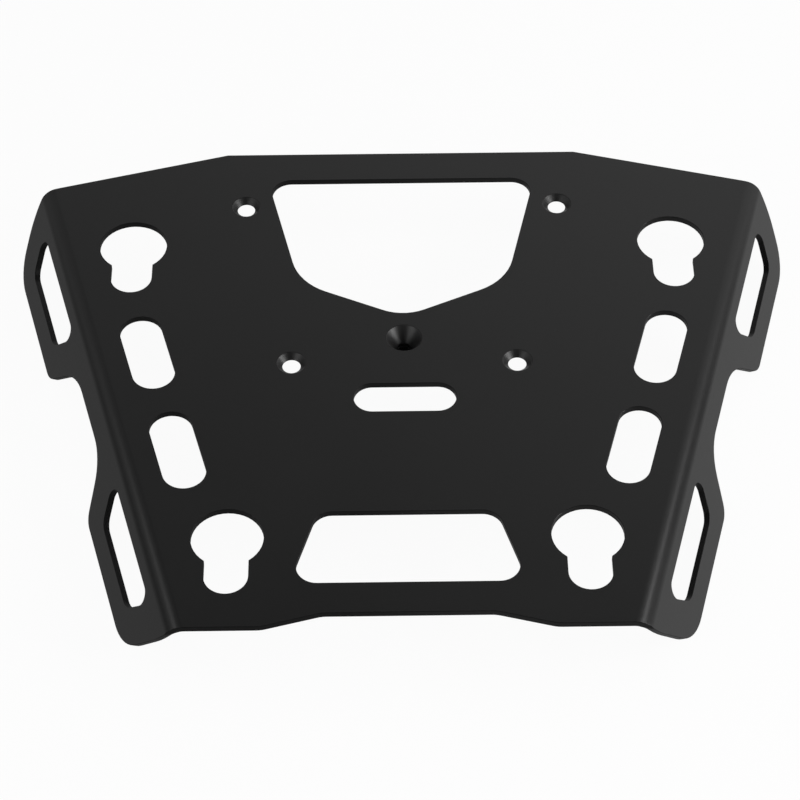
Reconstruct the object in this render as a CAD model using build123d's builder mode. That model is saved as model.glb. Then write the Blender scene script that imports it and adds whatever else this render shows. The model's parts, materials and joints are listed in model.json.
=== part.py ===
"""Motorcycle luggage rack: one folded steel sheet with a short bush under its centre hole.

Frame: +X to the rack's right, +Y to its back, +Z up, millimetres. The rack stands on the lower
edges of its folded sides, and the origin is on that level, in the middle of its outline.
"""
import os
from math import cos, radians, sin, tan

from build123d import *

# Sheet and folds. A fold line is where the two flat outer faces would meet in a sharp corner.
sheet = 3.0
fold_angle = 60.0
fold_inner_radius = 6.0
fold_sweep = 15.1
fold_half_width = 140.0

# Plate outline. The slanted back edges stand square to the folds.
plate_depth = 292.0
slant_along_fold = 126.6
relief_depth = 6.9
relief_half_width = 37.0
relief_run = 25.7
relief_radius = 15.0

# Folded sides: depths run down the side from the fold line, lengths run along the fold.
side_depth = 38.9
neck_depth = 16.1
side_middle = 10.8
back_end_depth = 10.7
back_end_lean = 35.0
back_end_radius = 50.0
front_end_depth = 11.7
front_end_length = 137.2
front_end_lean = 32.4
front_lead_lean = 21.8
front_end_radius = 60.0
side_corner_radius = 24.0
notch_half_length = 26.6
notch_lean = 39.0
notch_root_radius = 25.0
notch_corner_radius = 10.0

# Lashing windows in the folded sides
grip_offset = 81.5
grip_half_length = 36.9
grip_lean = 35.0
grip_near_depth = 10.3
grip_far_depth = 28.0
grip_near_radius = 4.9
grip_far_radius = 8.4

# Back window, a five-sided opening with its point to the front
back_rail = 18.5
back_window_half_width = 64.8
back_window_shoulder_half_width = 48.9
back_window_shoulder_depth = 70.1
back_window_point_depth = 92.9
back_window_corner_radius = 9.2
back_window_shoulder_radius = 28.4
back_window_point_radius = 22.7

# Front window, a trapezium behind the relief in the front edge
front_rail = 16.3
front_window_depth = 39.4
front_window_front_half_width = 51.4
front_window_back_half_width = 39.4
front_window_radius = 9.1

# Keyholes and strap slots: places are (along the fold, in from the fold)
keyhole_places = [(-77.3, 33.2), (110.0, 34.3)]
keyhole_head_radius = 15.9
keyhole_neck_radius = 9.6
keyhole_length = 21.2
strap_slot_places = [(-7.4, 24.6), (54.6, 24.8)]
strap_slot_centres = 26.6
strap_slot_radius = 9.8

# Centre hole and its bush, in front of the back window's point
bush_gap = 13.8
bush_radius = 9.0
bush_length = 12.0
bush_bore_radius = 2.5
bush_head_radius = 8.3
bush_countersink_angle = 75.0
bush_chamfer = 1.0

# Centre slot, in front of the bush
centre_slot_gap = 36.9
centre_slot_centres = 29.6
centre_slot_radius = 8.5

# Countersunk screw holes: one pair in from the back edge, one pair in front of the bush
rear_screw_spacing = 150.0
rear_screw_inset = 36.7
middle_screw_spacing = 103.6
middle_screw_gap = 14.9
screw_hole_radius = 4.2
screw_head_radius = 6.8
countersink_angle = 90.0

# Derived sizes
fold_outer_radius = fold_inner_radius + sheet
fold_rise, fold_run = sin(radians(fold_angle)), cos(radians(fold_angle))
plate_top = side_depth * fold_rise + sheet * fold_run
beyond = 2 * plate_depth + fold_half_width

# Working planes of the right-hand side: local X runs along the fold to the front
along_fold = Vector(-sin(radians(fold_sweep)), -cos(radians(fold_sweep)), 0)
outward = Vector(cos(radians(fold_sweep)), -sin(radians(fold_sweep)), 0)
side_normal = outward * fold_rise + Vector(0, 0, fold_run)
fold_point = Vector(fold_half_width, 0, plate_top)
section_plane = Plane(origin=fold_point, x_dir=outward, z_dir=along_fold)
plate_plane = Plane(origin=fold_point, x_dir=along_fold, z_dir=(0, 0, 1))
side_plane = Plane(origin=fold_point, x_dir=along_fold, z_dir=side_normal)


def places(corners):
    """Points of (x, y, radius) corners."""
    return [(x, y) for x, y, _ in corners]


def radii(corners):
    """Rounding radii of (x, y, radius) corners."""
    return [radius for _, _, radius in corners]


def mirrored(corners):
    """Right-hand (x, y, radius) corners, back to front, with their mirror images."""
    left = [(-x, y, radius) for x, y, radius in reversed(corners) if x > 0]
    return corners + left


# Places and outlines, seen from above
back_edge, front_edge = plate_depth / 2, -plate_depth / 2
relief_edge = front_edge + relief_depth
back_window_edge = back_edge - back_rail
front_window_edge = relief_edge + front_rail
bush_y = back_window_edge - back_window_point_depth - bush_gap
centre_slot_y = bush_y - centre_slot_gap
screw_places = [
    (rear_screw_spacing / 2, back_edge - rear_screw_inset, plate_top),
    (middle_screw_spacing / 2, bush_y - middle_screw_gap, plate_top),
]
half_outline = [
    (0, back_edge, 0),
    (beyond, back_edge, 0),
    (beyond, front_edge, 0),
    (relief_half_width + relief_run, front_edge, relief_radius),
    (relief_half_width, relief_edge, relief_radius),
    (0, relief_edge, 0),
]
back_window = mirrored([
    (back_window_half_width, back_window_edge, back_window_corner_radius),
    (
        back_window_shoulder_half_width,
        back_window_edge - back_window_shoulder_depth,
        back_window_shoulder_radius,
    ),
    (0, back_window_edge - back_window_point_depth, back_window_point_radius),
])
front_window = mirrored([
    (front_window_back_half_width, front_window_edge + front_window_depth, front_window_radius),
    (front_window_front_half_width, front_window_edge, front_window_radius),
])

# Outline of the folded side, from the slanted back edge round to the front edge
notch_run = tan(radians(notch_lean)) * (side_depth - neck_depth)
back_end_run = tan(radians(back_end_lean)) * (side_depth - back_end_depth)
front_end_run = tan(radians(front_end_lean)) * (side_depth - front_end_depth)
front_end = side_middle + front_end_length
side_outline = [
    (-slant_along_fold, -beyond, 0),
    (-slant_along_fold, back_end_depth, back_end_radius),
    (-slant_along_fold + back_end_run, side_depth, side_corner_radius),
    (side_middle - notch_half_length - notch_run, side_depth, notch_corner_radius),
    (side_middle - notch_half_length, neck_depth, notch_root_radius),
    (side_middle + notch_half_length, neck_depth, notch_root_radius),
    (side_middle + notch_half_length + notch_run, side_depth, notch_corner_radius),
    (front_end - front_end_run, side_depth, side_corner_radius),
    (front_end, front_end_depth, front_end_radius),
    (front_end + tan(radians(front_lead_lean)) * front_end_depth, 0, 0),
    (beyond, 0, 0),
    (beyond, -beyond, 0),
]
grip_run = tan(radians(grip_lean)) * (grip_far_depth - grip_near_depth)
grip_outline = [
    (-grip_half_length, grip_near_depth, grip_near_radius),
    (-grip_half_length + grip_run, grip_far_depth, grip_far_radius),
    (grip_half_length - grip_run, grip_far_depth, grip_far_radius),
    (grip_half_length, grip_near_depth, grip_near_radius),
]

# Rack plate: the right half is folded and cut, then mirrored, and the middle openings are cut last
with BuildPart() as rack_plate:
    with BuildSketch(section_plane):
        with BuildLine():
            outer_skin = FilletPolyline(
                (-beyond, 0),
                (0, 0),
                (beyond * fold_run, -beyond * fold_rise),
                radius=fold_outer_radius,
            )
            offset(outer_skin, amount=sheet, side=Side.RIGHT)
        make_face()
    extrude(amount=beyond, both=True)

    with BuildSketch(Plane.XY.offset(-beyond)):
        with BuildLine():
            FilletPolyline(places(half_outline), radius=radii(half_outline), close=True)
        make_face()
    extrude(amount=2 * beyond, mode=Mode.INTERSECT)

    with BuildSketch(side_plane):
        with BuildLine():
            FilletPolyline(places(side_outline), radius=radii(side_outline), close=True)
        make_face()
    extrude(amount=beyond, both=True, mode=Mode.INTERSECT)

    for middle in (side_middle - grip_offset, side_middle + grip_offset):
        with BuildSketch(side_plane.shift_origin(side_plane.from_local_coords((middle, 0)))):
            with BuildLine():
                FilletPolyline(places(grip_outline), radius=radii(grip_outline), close=True)
            make_face()
    extrude(amount=2 * sheet, both=True, mode=Mode.SUBTRACT)

    with BuildSketch(plate_plane):
        for along, inset in keyhole_places:
            with Locations(Location((along, -inset, 0), (0, 0, fold_sweep))):
                Circle(keyhole_head_radius)
                with Locations((keyhole_length / 2, 0)):
                    SlotCenterToCenter(keyhole_length, 2 * keyhole_neck_radius)
        with Locations([(along, -inset) for along, inset in strap_slot_places]):
            SlotCenterToCenter(strap_slot_centres, 2 * strap_slot_radius)
    extrude(amount=2 * sheet, both=True, mode=Mode.SUBTRACT)

    with Locations(screw_places):
        CounterSinkHole(screw_hole_radius, screw_head_radius, counter_sink_angle=countersink_angle)

    mirror(about=Plane.YZ)

    with BuildSketch(Plane.XY.offset(plate_top)):
        with BuildLine():
            FilletPolyline(places(back_window), radius=radii(back_window), close=True)
        make_face()
        with BuildLine():
            FilletPolyline(places(front_window), radius=radii(front_window), close=True)
        make_face()
        with Locations((0, centre_slot_y)):
            SlotCenterToCenter(centre_slot_centres, 2 * centre_slot_radius)
    extrude(amount=2 * sheet, both=True, mode=Mode.SUBTRACT)

    with Locations((0, bush_y, plate_top)):
        CounterSinkHole(bush_bore_radius, bush_head_radius, counter_sink_angle=bush_countersink_angle)

# Centre bush: a turned ring against the underside, with the sheet's countersink carried on into it
bush_top = plate_top - sheet

with BuildPart() as centre_bush:
    with Locations((0, bush_y, bush_top)):
        Cylinder(bush_radius, bush_length, align=(Align.CENTER, Align.CENTER, Align.MAX))
    chamfer(centre_bush.edges().group_by(Axis.Z)[0], bush_chamfer)
    with Locations((0, bush_y, plate_top)):
        CounterSinkHole(bush_bore_radius, bush_head_radius, counter_sink_angle=bush_countersink_angle)

os.makedirs("parts", exist_ok=True)
rack_plate.part.label = "rack_plate"
export_step(rack_plate.part, "parts/rack_plate.step")
centre_bush.part.label = "centre_bush"
export_step(centre_bush.part, "parts/centre_bush.step")
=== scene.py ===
# %% [markdown]
# # A motorcycle luggage rack
# The real rack is one laser-cut steel sheet. Its two long sides are folded down, and the whole sheet
# has a satin black powder coat. A short threaded bush sits under the middle of it.
# The CAD model already has the true outline, folds and holes. This lesson takes its surfaces further:
# it softens the cut edges as a coat of powder does, adds the thread, and makes the black finish.

# %% Load the frame
import json
import math

import bpy
from mathutils import Euler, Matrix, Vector


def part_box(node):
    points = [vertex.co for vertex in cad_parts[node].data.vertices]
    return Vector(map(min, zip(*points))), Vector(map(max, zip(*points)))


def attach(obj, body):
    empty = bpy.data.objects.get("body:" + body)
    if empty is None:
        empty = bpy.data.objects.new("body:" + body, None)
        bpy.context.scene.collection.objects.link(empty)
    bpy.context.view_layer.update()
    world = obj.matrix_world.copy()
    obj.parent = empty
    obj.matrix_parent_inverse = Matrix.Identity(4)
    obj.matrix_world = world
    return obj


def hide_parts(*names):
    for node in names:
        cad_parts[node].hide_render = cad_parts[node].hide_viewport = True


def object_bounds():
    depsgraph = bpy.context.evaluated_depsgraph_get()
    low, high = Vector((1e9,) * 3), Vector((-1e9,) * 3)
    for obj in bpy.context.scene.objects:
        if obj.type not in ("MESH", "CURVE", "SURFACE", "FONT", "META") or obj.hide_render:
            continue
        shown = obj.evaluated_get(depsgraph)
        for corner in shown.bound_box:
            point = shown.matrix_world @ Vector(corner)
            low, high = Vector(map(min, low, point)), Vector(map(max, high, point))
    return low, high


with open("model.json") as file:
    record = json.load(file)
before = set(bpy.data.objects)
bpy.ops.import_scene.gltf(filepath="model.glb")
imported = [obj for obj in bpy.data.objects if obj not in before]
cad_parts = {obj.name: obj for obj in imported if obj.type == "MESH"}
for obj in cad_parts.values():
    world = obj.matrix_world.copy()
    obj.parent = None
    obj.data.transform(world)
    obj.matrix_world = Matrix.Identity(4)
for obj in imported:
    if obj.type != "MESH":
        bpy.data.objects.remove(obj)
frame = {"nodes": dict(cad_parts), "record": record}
cad_low, cad_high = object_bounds()
bpy.ops.object.select_all(action="DESELECT")

mm = 0.001
mounts = {mount["name"]: mount for mount in frame["record"]["mounts"]}
plate_top = mounts["luggage_face"]["pos_m"][2]
print("CAD box", [round(v / mm, 1) for v in cad_high - cad_low], "plate top", round(plate_top / mm, 2))

# %% [markdown]
# ## The coated sheet
# The sheet could be modelled again by hand, but its outline in the CAD model is already right, so we
# copy that mesh. Its triangles are loose, so we merge them into one skin. Then we clear the needless
# edges on its flat faces, because a bevel runs more cleanly on a few large faces than on many small ones.

# %% Copy the sheet
merge_distance = 0.003 * mm
flat_angle = math.radians(0.4)


def copy_cad(node, name):
    """A separate object with the node's mesh, merged into one closed skin and made active."""
    piece = bpy.data.objects.new(name, frame["nodes"][node].data.copy())
    bpy.context.collection.objects.link(piece)
    bpy.ops.object.select_all(action="DESELECT")
    piece.select_set(True)
    bpy.context.view_layer.objects.active = piece
    bpy.ops.mesh.customdata_custom_splitnormals_clear()
    bpy.ops.object.mode_set(mode="EDIT")
    bpy.ops.mesh.select_all(action="SELECT")
    bpy.ops.mesh.remove_doubles(threshold=merge_distance)
    bpy.ops.mesh.dissolve_limited(angle_limit=flat_angle)
    bpy.ops.object.mode_set(mode="OBJECT")
    return piece


coated_sheet = copy_cad("rack_plate", "coated_sheet")
print("coated sheet:", len(coated_sheet.data.polygons), "faces after merging")

# %% [markdown]
# A CAD edge is perfectly sharp, and a sharp edge never catches the light. Powder flows round a cut edge as
# it melts, so the real edge has a small radius and a thin line of reflection.
# A Bevel modifier would round every sharp edge alike. We bevel in edit mode instead, where edges can be
# chosen by their angle and their place. First come the square edges of the cut. The bush is joined to the
# sheet before coating, so the edge between their two cones stays as it is.

# %% Round the square edges
coat_edge_radius = 0.25 * mm
coat_edge_segments = 3
square_angle = math.radians(60)

bush_low, bush_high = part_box("centre_bush")
bush_radius = (bush_high.x - bush_low.x) / 2
thread = mounts["centre_thread"]
bush_axis = Vector((thread["pos_m"][0], thread["pos_m"][1], 0))


def round_edges(piece, sharper_than, radius, segments, belongs):
    """Bevels the edges sharper than an angle, if both their ends pass a test of place."""
    bpy.ops.object.mode_set(mode="EDIT")
    bpy.ops.mesh.select_mode(type="EDGE")
    bpy.ops.mesh.select_all(action="DESELECT")
    bpy.ops.mesh.edges_select_sharp(sharpness=sharper_than)
    bpy.ops.object.mode_set(mode="OBJECT")
    corners = piece.data.vertices
    sharp = [edge for edge in piece.data.edges if edge.select]
    for edge in sharp:
        edge.select = all(belongs(corners[end].co) for end in edge.vertices)
    rounded = sum(edge.select for edge in sharp)
    bpy.ops.object.mode_set(mode="EDIT")
    bpy.ops.mesh.bevel(offset=radius, segments=segments, affect="EDGES", clamp_overlap=False)
    bpy.ops.object.mode_set(mode="OBJECT")
    return rounded


def beside_bush(place):
    """True away from the centre hole."""
    return (place.xy - bush_axis.xy).length > bush_radius


square_edges = round_edges(coated_sheet, square_angle, coat_edge_radius, coat_edge_segments, beside_bush)
print("square edges rounded:", square_edges)

# %% [markdown]
# The rims of the countersunk holes are blunter than the cut edges, so they get a smaller bevel of their own.
# Where three slanted edges meet, a bevel's corner can stand a little proud, so the corners at the front are
# set back on the line of the front edge.

# %% Round the rims of the holes
rim_radius = 0.2 * mm
rim_segments = 2
rim_angle = math.radians(40)
level_error = 0.01 * mm


def on_top(place):
    """True at the level of the plate's top."""
    return abs(place.z - plate_top) < level_error


rim_edges = round_edges(coated_sheet, rim_angle, rim_radius, rim_segments, on_top)
for corner in coated_sheet.data.vertices:
    corner.co.y = max(corner.co.y, cad_low.y)
print("rim edges rounded:", rim_edges)

# %% [markdown]
# The bevels and bends are made of narrow facets. Smooth shading blends those, but by itself it would also
# bend the light on the plate next to them. Weighted normals let the large faces win, so flat stays flat.

# %% Shade the sheet
crease_angle = math.radians(38)


def shade(piece):
    """Smooth shading that leaves flat faces flat."""
    bpy.ops.object.shade_smooth_by_angle(angle=crease_angle)
    normals = piece.modifiers.new("flat faces", "WEIGHTED_NORMAL")
    normals.keep_sharp = True
    bpy.ops.object.modifier_apply(modifier=normals.name)


shade(coated_sheet)
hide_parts("rack_plate")
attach(coated_sheet, "root")
print("coated sheet:", len(coated_sheet.data.polygons), "faces after bevelling")

# %% [markdown]
# ## The threaded bush
# The bush is a turned ring under the sheet, with a thread in its bore. A lathe turns one outline about an
# axis, so all we need is that outline, as a list of rings: down the countersink, down the bore, out across
# the lower face, up the outside and back. The bore is as wide as the thread's root, and the ridge of the
# thread is added inside it later.

# %% Outline of the bush
crest_radius = thread["dims"]["r_mm"] * mm
bore_top = thread["pos_m"][2] + thread["dims"]["length_mm"] * mm / 2
thread_depth = 0.5 * mm
root_radius = crest_radius + thread_depth
cone_angle = math.radians(75)
cone_slope = math.tan(cone_angle / 2)
mouth_radius = crest_radius + (bush_high.z - bore_top) * cone_slope
outer_chamfer = 1.0 * mm
bore_chamfer = 0.7 * mm

bush_rings = [
    (mouth_radius, bush_high.z),
    (root_radius, bore_top + thread_depth / cone_slope),
    (root_radius, bush_low.z + bore_chamfer),
    (root_radius + bore_chamfer, bush_low.z),
    (bush_radius - outer_chamfer, bush_low.z),
    (bush_radius, bush_low.z + outer_chamfer),
    (bush_radius, bush_high.z),
    (mouth_radius, bush_high.z),
]
print("bush radius", round(bush_radius / mm, 2), "mouth", round(mouth_radius / mm, 2), "mm")

# %% [markdown]
# The Spin tool could sweep the outline round the axis. We start from a circle instead and extrude it from
# ring to ring, because each ring then has just the radius and height that the list gives it. The last ring
# lies on the first, and merging the two closes the shape. The edges that the lathe leaves get a small bevel,
# except at the joint, which lies hidden against the sheet.

# %% Turn the bush
bush_steps = 96
turned_edge_angle = math.radians(25)


def turn(name, rings, axis, steps):
    """A closed turned shape: a circle extruded through (radius, height) rings about an upright axis."""
    radius, height = rings[0]
    bpy.ops.object.select_all(action="DESELECT")
    bpy.ops.mesh.primitive_circle_add(vertices=steps, radius=radius, location=axis + Vector((0, 0, height)))
    piece = bpy.context.active_object
    piece.name = name
    bpy.ops.object.transform_apply(location=True, rotation=True, scale=True)
    bpy.ops.object.mode_set(mode="EDIT")
    bpy.ops.mesh.select_all(action="SELECT")
    for next_radius, next_height in rings[1:]:
        rise = Vector((0, 0, next_height - height))
        bpy.ops.mesh.extrude_edges_move(TRANSFORM_OT_translate={"value": rise})
        scale = next_radius / radius
        bpy.ops.transform.resize(value=(scale, scale, 1), center_override=axis + Vector((0, 0, next_height)))
        radius, height = next_radius, next_height
    bpy.ops.mesh.select_all(action="SELECT")
    bpy.ops.mesh.remove_doubles(threshold=merge_distance)
    bpy.ops.mesh.normals_make_consistent(inside=False)
    bpy.ops.object.mode_set(mode="OBJECT")
    return piece


def below_joint(place):
    """True below the joint of sheet and bush."""
    return place.z < bush_high.z - level_error


threaded_bush = turn("threaded_bush", bush_rings, bush_axis, bush_steps)
round_edges(threaded_bush, turned_edge_angle, rim_radius, rim_segments, below_joint)
shade(threaded_bush)
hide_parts("centre_bush")
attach(threaded_bush, "root")
print("bush:", len(threaded_bush.data.polygons), "faces")

# %% [markdown]
# The thread is a small ridge that climbs the bore in a helix. Its section is a trapezium with a narrow
# crest. It starts above the lower chamfer and makes as many whole turns as the bore has room for. The foot
# of the ridge is sunk a little into the wall of the bore, so no gap shows.

# %% Section of the thread
thread_pitch = 1.0 * mm
thread_sink = 0.05 * mm
crest_half = 0.07 * mm
root_half = 0.42 * mm
foot_radius = root_radius + thread_sink
thread_bottom = bush_low.z + bore_chamfer + root_half
thread_turns = int((bore_top - thread_bottom) / thread_pitch)
thread_section = [
    (foot_radius, -root_half),
    (crest_radius, -crest_half),
    (foot_radius, root_half),
    (crest_radius, crest_half),
]
print("thread:", thread_turns, "turns of", round(thread_pitch / mm, 2), "mm")

# %% [markdown]
# A helix could be a curve with this section as its profile. The Screw modifier is simpler and keeps the
# section upright: it turns the section about an axis and lifts it by the pitch in each turn. We start from
# a plane and move its corners to the ridge's foot and crest.

# %% Wind the thread
thread_steps = 48

bpy.ops.object.select_all(action="DESELECT")
bpy.ops.mesh.primitive_plane_add(size=1, location=bush_axis + Vector((0, 0, thread_bottom)))
bush_thread = bpy.context.active_object
bush_thread.name = "bush_thread"
for corner, (radius, height) in zip(bush_thread.data.vertices, thread_section):
    corner.co = (radius, 0, height)
winding = bush_thread.modifiers.new("helix", "SCREW")
winding.angle = math.tau
winding.screw_offset = thread_pitch
winding.iterations = thread_turns
winding.steps = thread_steps
winding.render_steps = thread_steps
winding.use_normal_calculate = True
bpy.ops.object.modifier_apply(modifier=winding.name)
bpy.ops.object.transform_apply(location=True, rotation=True, scale=True)
bpy.ops.object.mode_set(mode="EDIT")
bpy.ops.mesh.select_all(action="SELECT")
bpy.ops.mesh.remove_doubles(threshold=merge_distance)
bpy.ops.mesh.normals_make_consistent(inside=False)
bpy.ops.object.mode_set(mode="OBJECT")
bpy.ops.object.shade_smooth_by_angle(angle=crease_angle)
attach(bush_thread, "root")
print("thread:", len(bush_thread.data.polygons), "faces")

# %% [markdown]
# ## The powder coat
# Powder coat is paint that was baked on as dust. It is smooth from a step away, but close up it has the
# soft ripple called orange peel and a much finer grain, and its gloss changes a little from place to place.
# Every black surface here shares that skin, so it is one node group, and each material gives it its own
# colour, gloss and depth of ripple. Three noises of very different size are all that it needs.

# %% Start the coat's node group
cloud_size = 70 * mm
ripple_size = 1.6 * mm
grain_size = 0.35 * mm

coat_group = bpy.data.node_groups.new("powder_coat_skin", "ShaderNodeTree")
coat_sockets = [
    ("Coat Color", "INPUT", "NodeSocketColor"),
    ("Coat Roughness", "INPUT", "NodeSocketFloat"),
    ("Peel", "INPUT", "NodeSocketFloat"),
    ("Color", "OUTPUT", "NodeSocketColor"),
    ("Roughness", "OUTPUT", "NodeSocketFloat"),
    ("Height", "OUTPUT", "NodeSocketFloat"),
]
for socket_name, side_of_group, kind in coat_sockets:
    coat_group.interface.new_socket(name=socket_name, in_out=side_of_group, socket_type=kind)


def add_node(tree, kind, **settings):
    """A new node with its settings."""
    made = tree.nodes.new(kind)
    for key, value in settings.items():
        setattr(made, key, value)
    return made


def noise(tree, place, size, detail):
    """Noise with features about this many metres across."""
    made = add_node(tree, "ShaderNodeTexNoise")
    made.inputs["Scale"].default_value = 1 / size
    made.inputs["Detail"].default_value = detail
    tree.links.new(place, made.inputs["Vector"])
    return made.outputs["Fac"]


group_in = add_node(coat_group, "NodeGroupInput")
group_out = add_node(coat_group, "NodeGroupOutput")
place = add_node(coat_group, "ShaderNodeTexCoord").outputs["Object"]
cloud = noise(coat_group, place, cloud_size, detail=3)
ripple = noise(coat_group, place, ripple_size, detail=2)
grain = noise(coat_group, place, grain_size, detail=2)
print("coat group:", len(coat_sockets), "sockets, three noises")

# %% [markdown]
# The cloud and the grain change the colour by a few hundredths, and the cloud and the ripple change the
# gloss. The ripple with some grain in it is the height of the skin. All of these stay faint, because a
# satin coat that is visibly blotchy looks like plastic.

# %% Colour, gloss and height of the skin
noise_low, noise_high = 0.3, 0.7
grain_share = 0.35


def remap(tree, value, low, high):
    """The middle of a noise, spread over low to high."""
    made = add_node(tree, "ShaderNodeMapRange")
    made.inputs["From Min"].default_value = noise_low
    made.inputs["From Max"].default_value = noise_high
    made.inputs["To Min"].default_value = low
    made.inputs["To Max"].default_value = high
    tree.links.new(value, made.inputs["Value"])
    return made.outputs["Result"]


def combine(tree, operation, first, second):
    """Product, sum or greater of two values."""
    made = add_node(tree, "ShaderNodeMath", operation=operation)
    tree.links.new(first, made.inputs[0])
    tree.links.new(second, made.inputs[1])
    return made.outputs["Value"]


cloudy = remap(coat_group, cloud, low=0.95, high=1.05)
speckled = combine(coat_group, "MULTIPLY", cloudy, remap(coat_group, grain, low=0.93, high=1.07))
tone = add_node(coat_group, "ShaderNodeVectorMath", operation="SCALE")
coat_group.links.new(group_in.outputs["Coat Color"], tone.inputs["Vector"])
coat_group.links.new(speckled, tone.inputs["Scale"])
coat_group.links.new(tone.outputs["Vector"], group_out.inputs["Color"])

patchy = remap(coat_group, cloud, low=0.94, high=1.06)
rippled = combine(coat_group, "MULTIPLY", patchy, remap(coat_group, ripple, low=0.96, high=1.04))
gloss = combine(coat_group, "MULTIPLY", rippled, group_in.outputs["Coat Roughness"])
coat_group.links.new(gloss, group_out.inputs["Roughness"])

skin = add_node(coat_group, "ShaderNodeMix", data_type="FLOAT")
skin.inputs["Factor"].default_value = grain_share
coat_group.links.new(ripple, skin.inputs["A"])
coat_group.links.new(grain, skin.inputs["B"])
peel = combine(coat_group, "MULTIPLY", skin.outputs["Result"], group_in.outputs["Peel"])
coat_group.links.new(peel, group_out.inputs["Height"])
print("coat group:", len(coat_group.nodes), "nodes")

# %% [markdown]
# The flat faces have the full, smooth coat. Powder lies thinner and duller on a laser-cut wall and hardly
# reaches into a thread, so those get a second material. Its low specular is partly that duller coat and
# partly
# painted shade: it darkens the walls, the bore and the thread as the shade under the rack would, because the
# floor beneath them shines white in reflections. Powder settles unevenly in a countersink, so a third one, a
# little rougher, spreads the lamps' reflections over the cones.

# %% Mix the three coats
black = (0.005, 0.005, 0.005, 1)
bump_distance = 0.02 * mm


def coat(name, roughness, peel, specular):
    """A material of black powder coat."""
    made = bpy.data.materials.new(name)
    made.use_nodes = True
    tree = made.node_tree
    shader = tree.nodes["Principled BSDF"]
    shader.inputs["Specular IOR Level"].default_value = specular
    skin_node = add_node(tree, "ShaderNodeGroup", node_tree=coat_group)
    skin_node.inputs["Coat Color"].default_value = black
    skin_node.inputs["Coat Roughness"].default_value = roughness
    skin_node.inputs["Peel"].default_value = peel
    bump = add_node(tree, "ShaderNodeBump")
    bump.inputs["Distance"].default_value = bump_distance
    tree.links.new(skin_node.outputs["Color"], shader.inputs["Base Color"])
    tree.links.new(skin_node.outputs["Roughness"], shader.inputs["Roughness"])
    tree.links.new(skin_node.outputs["Height"], bump.inputs["Height"])
    tree.links.new(bump.outputs["Normal"], shader.inputs["Normal"])
    return made


flat_coat = coat("satin_black_coat", roughness=0.31, peel=1.0, specular=0.4)
# The low specular here is partly a duller coat on cut walls and partly painted shade for walls, bore and
# thread.
dull_shaded_coat = coat("cut_wall_shaded_coat", roughness=0.5, peel=1.3, specular=0.15)
cone_coat = coat("countersink_coat", roughness=0.42, peel=1.0, specular=0.5)
print("coats:", flat_coat.name, dull_shaded_coat.name, cone_coat.name)

# %% [markdown]
# Each face then has to find its coat. Faces could be picked by hand in edit mode, but there are thousands,
# so tests pick them. A countersink's cone faces every way round, so its faces are found by their place and
# by facing partly upwards. The record of the part knows where its screw holes are.

# %% Find the cones
cone_reach = bush_radius
cone_rise_low, cone_rise_high = 0.2, 0.95

countersinks = [bush_axis.xy]
for pattern in (mounts["rear_screw_holes"], mounts["middle_screw_holes"]):
    half_spacing = pattern["dims"]["spacing_x_mm"] * mm / 2
    for x in (-half_spacing, half_spacing):
        countersinks.append(Vector((x, pattern["pos_m"][1])))


def in_countersink(face):
    """True for a face of a countersink's cone."""
    near = any((face.center.xy - middle).length < cone_reach for middle in countersinks)
    return near and cone_rise_low < face.normal.z < cone_rise_high


print("countersinks:", len(countersinks))

# %% [markdown]
# The cut walls are found by their direction: a wall faces neither up or down like the plate, nor out or in
# like a folded side or its bend. The sides run together towards the front, so out and in are measured square
# to the fold. In the bush, only the bore gets the dull coat with its painted shade.

# %% Coat the sheet and the bush
fold_angle = math.radians(60)
fold_sweep = math.radians(15.1)
tilt_error = math.radians(8)
lean_along_fold = 0.4
dull_shaded_index, cone_index = 1, 2


def in_bore(face):
    """True for a face of the bush's bore."""
    return (face.center.xy - bush_axis.xy).length < root_radius


def is_wall(face):
    """True for a face of the sheet's cut edge."""
    side = 1 if face.center.x > 0 else -1
    along = Vector((-side * math.sin(fold_sweep), -math.cos(fold_sweep), 0))
    outward = Vector((side * math.cos(fold_sweep), -math.sin(fold_sweep), 0))
    tilt = math.atan2(face.normal.dot(outward), face.normal.z) % math.pi
    in_section = abs(face.normal.dot(along)) < lean_along_fold
    return not (in_section and (tilt < fold_angle + tilt_error or tilt > math.pi - tilt_error))


def apply_coats(piece, is_dull_and_shaded):
    """Gives each face its coat, and returns how many got the flat, the dull shaded and the cone coat."""
    piece.data.materials.clear()
    for finish in (flat_coat, dull_shaded_coat, cone_coat):
        piece.data.materials.append(finish)
    counts = [0, 0, 0]
    for face in piece.data.polygons:
        if in_countersink(face):
            face.material_index = cone_index
        elif is_dull_and_shaded(face):
            face.material_index = dull_shaded_index
        counts[face.material_index] += 1
    return counts


sheet_faces = apply_coats(coated_sheet, is_wall)
bush_faces = apply_coats(threaded_bush, in_bore)
# The thread gets the same dull coat, whose low specular is partly painted shade.
bush_thread.data.materials.clear()
bush_thread.data.materials.append(dull_shaded_coat)
print("faces with flat, wall and cone coat: sheet", sheet_faces, "bush", bush_faces)

# %% [markdown]
# ## The stage
# The photograph shows the rack alone on white, from in front and above. A backdrop that curves up behind
# the rack could be built, but this view meets only the floor, so a large plane is enough. It lies a hair
# below the rack, so the two never share a surface.

# %% Floor
floor_size = 16.0
floor_drop = 0.1 * mm

bpy.ops.object.select_all(action="DESELECT")
bpy.ops.mesh.primitive_plane_add(size=floor_size, location=(0, 0, -floor_drop))
floor = bpy.context.active_object
floor.name = "floor"
print("floor:", floor_size, "m square")

# %% [markdown]
# A white floor under lamps would come out grey, or need more light than the rack can bear. So the floor
# gives off a plain white of its own to the camera and in reflections, and keeps just enough of its real
# shading for a soft shadow.

# %% White of the floor
floor_paint_white = 0.9
floor_glow_share = 0.95

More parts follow.
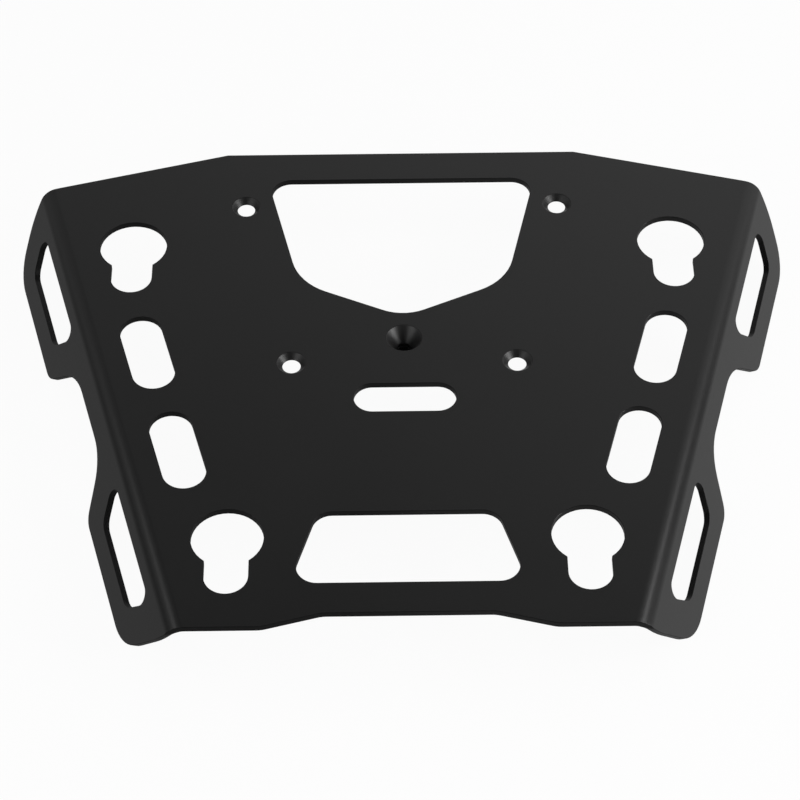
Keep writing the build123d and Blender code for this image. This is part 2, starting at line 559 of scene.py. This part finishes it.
floor_paint = bpy.data.materials.new("white_floor")
floor_paint.use_nodes = True
tree = floor_paint.node_tree
paint = tree.nodes["Principled BSDF"]
paint.inputs["Base Color"].default_value = (floor_paint_white, floor_paint_white, floor_paint_white, 1)
paint.inputs["Roughness"].default_value = 1.0
paint.inputs["Specular IOR Level"].default_value = 0.0
glow = add_node(tree, "ShaderNodeEmission")
rays = add_node(tree, "ShaderNodeLightPath")
share = add_node(tree, "ShaderNodeMath", operation="MULTIPLY")
share.inputs[1].default_value = floor_glow_share
blend = add_node(tree, "ShaderNodeMixShader")
seen = combine(tree, "MAXIMUM", rays.outputs["Is Camera Ray"], rays.outputs["Is Glossy Ray"])
seen_through = combine(tree, "MAXIMUM", seen, rays.outputs["Is Transmission Ray"])
tree.links.new(seen_through, share.inputs[0])
tree.links.new(share.outputs["Value"], blend.inputs["Fac"])
tree.links.new(paint.outputs["BSDF"], blend.inputs[1])
tree.links.new(glow.outputs["Emission"], blend.inputs[2])
tree.links.new(blend.outputs["Shader"], tree.nodes["Material Output"].inputs["Surface"])
floor.data.materials.append(floor_paint)
print("floor paint:", len(tree.nodes), "nodes")

# %% [markdown]
# Black paint shows its shape by what it mirrors. The folded sides mirror the floor beside the rack, and so
# much white would turn them pale. Photographers lay dark cards there, out of the picture. Ours are panels
# that only reflections show. Each side has three: one on the floor, a low one that stands at its far edge,
# and one that stands further back and lights the back of the bend. The left ones are darker than the right.

# %% Side cards
card_reach = 1.2
card_length = 3.0
card_middle = 0.5
card_height = 0.35
card_lift = 0.2 * mm
back_card_reach = 1.19
back_card_middle = 1.15
back_card_size = 0.9
lying = (0, 0, 0)
facing_side = (0, math.pi / 2, 0)


def card(name, place, size, angles, brightness):
    """A dim panel that only reflections show."""
    bpy.ops.object.select_all(action="DESELECT")
    bpy.ops.mesh.primitive_plane_add(size=1, location=place, rotation=angles)
    made = bpy.context.active_object
    made.name = name
    made.scale = (*size, 1)
    made.visible_camera = False
    made.visible_diffuse = False
    made.visible_shadow = False
    paint = bpy.data.materials.new(name)
    paint.use_nodes = True
    shader = paint.node_tree.nodes["Principled BSDF"]
    shader.inputs["Base Color"].default_value = (0, 0, 0, 1)
    shader.inputs["Specular IOR Level"].default_value = 0.0
    shader.inputs["Emission Color"].default_value = (1, 1, 1, 1)
    shader.inputs["Emission Strength"].default_value = brightness
    made.data.materials.append(paint)


for side_name, side, floor_light, standing_light, back_light in (
    ("right", 1, 0.64, 0.2, 0.88),
    ("left", -1, 0.34, 0.15, 0.42),
):
    beside = Vector((side * card_reach / 2, card_middle, card_lift))
    card(side_name + "_floor_card", beside, (card_reach, card_length), lying, floor_light)
    far = Vector((side * card_reach, card_middle, card_height / 2))
    card(side_name + "_standing_card", far, (card_height, card_length), facing_side, standing_light)
    behind = Vector((side * back_card_reach, back_card_middle, back_card_size / 2))
    card(side_name + "_back_card", behind, (back_card_size, back_card_size), facing_side, back_light)
    print(side_name, "cards:", floor_light, standing_light, back_light)

# %% [markdown]
# The far half of each countersink leans towards the camera and mirrors what stands in front of the rack.
# A dark card there keeps the middle of the countersinks dark, and the lamps at the sides then show in them
# as two light streaks.

# %% Front card
front_card_light = 0.1
facing_front = (math.pi / 2, 0, 0)

in_front = Vector((0, -card_reach, card_height / 2))
card("front_card", in_front, (card_reach, card_height), facing_front, front_card_light)
print("front card:", front_card_light)

# %% [markdown]
# The flat top mirrors the studio's wall behind the rack. The wall is brightest low down and grows dark
# higher up, so the top fades from its back to its front. It is also dimmer towards the left, at its far
# right end and in front of the rack. An even grey would be simpler, but then the top would have no fade.

# %% Wall of the studio
world = bpy.data.worlds.new("studio")
bpy.context.scene.world = world
world.use_nodes = True
studio = world.node_tree
direction = add_node(studio, "ShaderNodeTexCoord").outputs["Generated"]
axes = add_node(studio, "ShaderNodeSeparateXYZ")
studio.links.new(direction, axes.inputs["Vector"])


def ramp(value, start, end, before, after):
    """A smooth change of brightness across the studio."""
    made = add_node(studio, "ShaderNodeMapRange", interpolation_type="SMOOTHSTEP")
    made.inputs["From Min"].default_value = start
    made.inputs["From Max"].default_value = end
    made.inputs["To Min"].default_value = before
    made.inputs["To Max"].default_value = after
    studio.links.new(value, made.inputs["Value"])
    return made.outputs["Result"]


def sine(angle):
    """Height of a direction that climbs by this many degrees."""
    return math.sin(math.radians(angle))


wall = ramp(axes.outputs["Z"], start=sine(36), end=sine(56), before=1.0, after=0.1)
left_to_right = ramp(axes.outputs["X"], start=-0.55, end=0.5, before=0.4, after=0.6)
right_end = ramp(axes.outputs["X"], start=0.6, end=0.82, before=1.0, after=0.25)
front_to_back = ramp(axes.outputs["Y"], start=-0.6, end=0.1, before=0.22, after=1.0)
for shading in (left_to_right, right_end, front_to_back):
    wall = combine(studio, "MULTIPLY", wall, shading)
print("wall:", len(studio.nodes), "nodes")

# %% [markdown]
# Soft patches of light are added to that wall: one low behind on the right, which makes the top brightest
# there, a faint one on the left for the start of the left bend, and one overhead for a look from above.
# Close to the horizon the studio is white like the floor.

# %% Glows and horizon
def toward(azimuth, elevation):
    """Unit vector to a point of the studio. Azimuth runs from the back edge to the right, in degrees."""
    bearing, climb = math.radians(azimuth), math.radians(elevation)
    level = math.cos(climb)
    return Vector((math.sin(bearing) * level, math.cos(bearing) * level, math.sin(climb)))


def cosine(angle):
    """Closeness of two directions that are this many degrees apart."""
    return math.cos(math.radians(angle))


def glow_at(azimuth, elevation, reach, core, brightness):
    """A soft patch of light in the studio, with its reach and its core in degrees from its middle."""
    closeness = add_node(studio, "ShaderNodeVectorMath", operation="DOT_PRODUCT")
    closeness.inputs[1].default_value = toward(azimuth, elevation)
    studio.links.new(direction, closeness.inputs[0])
    return ramp(closeness.outputs["Value"], cosine(reach), cosine(core), before=0.0, after=brightness)


back_glow = glow_at(azimuth=20, elevation=33, reach=26, core=8, brightness=0.54)
left_glow = glow_at(azimuth=-27, elevation=46, reach=22, core=6, brightness=0.11)
ceiling_glow = glow_at(azimuth=0, elevation=90, reach=24, core=6, brightness=0.3)
for glow_patch in (back_glow, left_glow, ceiling_glow):
    wall = combine(studio, "ADD", wall, glow_patch)
horizon = ramp(axes.outputs["Z"], start=sine(6), end=sine(14), before=1.0, after=0.0)
strength = combine(studio, "MAXIMUM", wall, horizon)
studio.links.new(strength, studio.nodes["Background"].inputs["Strength"])
studio.nodes["Background"].inputs["Color"].default_value = (1, 1, 1, 1)
print("studio:", len(studio.nodes), "nodes")

# %% [markdown]
# Each lamp has one job. Two large key lamps stand low beside the rack, where the flat top can't mirror them
# to the camera but the countersinks can. Two smaller ones stand higher, and the rounded folds mirror those
# as a bright line. All four are area lamps, because a gloss paint shows a point lamp as a hard dot.

# %% Lamps
def softbox(name, azimuth, elevation, distance, size, watts):
    """A square white lamp that faces the rack."""
    away = toward(azimuth, elevation)
    bpy.ops.object.light_add(type="AREA", location=away * distance)
    lamp = bpy.context.active_object
    lamp.name = name
    lamp.data.size = size
    lamp.data.energy = watts
    lamp.rotation_euler = away.to_track_quat("Z", "Y").to_euler()
    print(name, watts, "W")


softbox("right_key_lamp", azimuth=103, elevation=25, distance=1.1, size=0.6, watts=8.0)
softbox("left_key_lamp", azimuth=-128, elevation=27, distance=1.1, size=0.78, watts=3.4)
softbox("right_fold_lamp", azimuth=75, elevation=41.2, distance=0.96, size=0.26, watts=0.86)
softbox("left_fold_lamp", azimuth=-75, elevation=41.2, distance=0.96, size=0.26, watts=0.34)

# %% [markdown]
# ## The camera
# The photograph was taken with a long lens from about 1.3 m, looking down at 48 degrees. Place, angles
# and focal length could be found by trial. Here they were measured from the outlines of the rack in the
# picture, so that the render can be laid over it.

# %% Camera
camera_place = Vector((-9.7, -863.8, 965.8)) * mm
camera_angles = (42.267, 0.1995, -0.7196)
focal_length = 125.085
sensor_width = 36.0

bpy.ops.object.camera_add(location=camera_place)
camera = bpy.context.active_object
camera.rotation_euler = Euler([math.radians(angle) for angle in camera_angles])
camera.data.lens = focal_length
camera.data.sensor_width = sensor_width
camera.data.clip_start = 0.01
camera.data.clip_end = 100
bpy.context.scene.camera = camera
bpy.context.scene.view_settings.view_transform = "Standard"
print("camera:", round(camera_place.length, 2), "m from the rack")
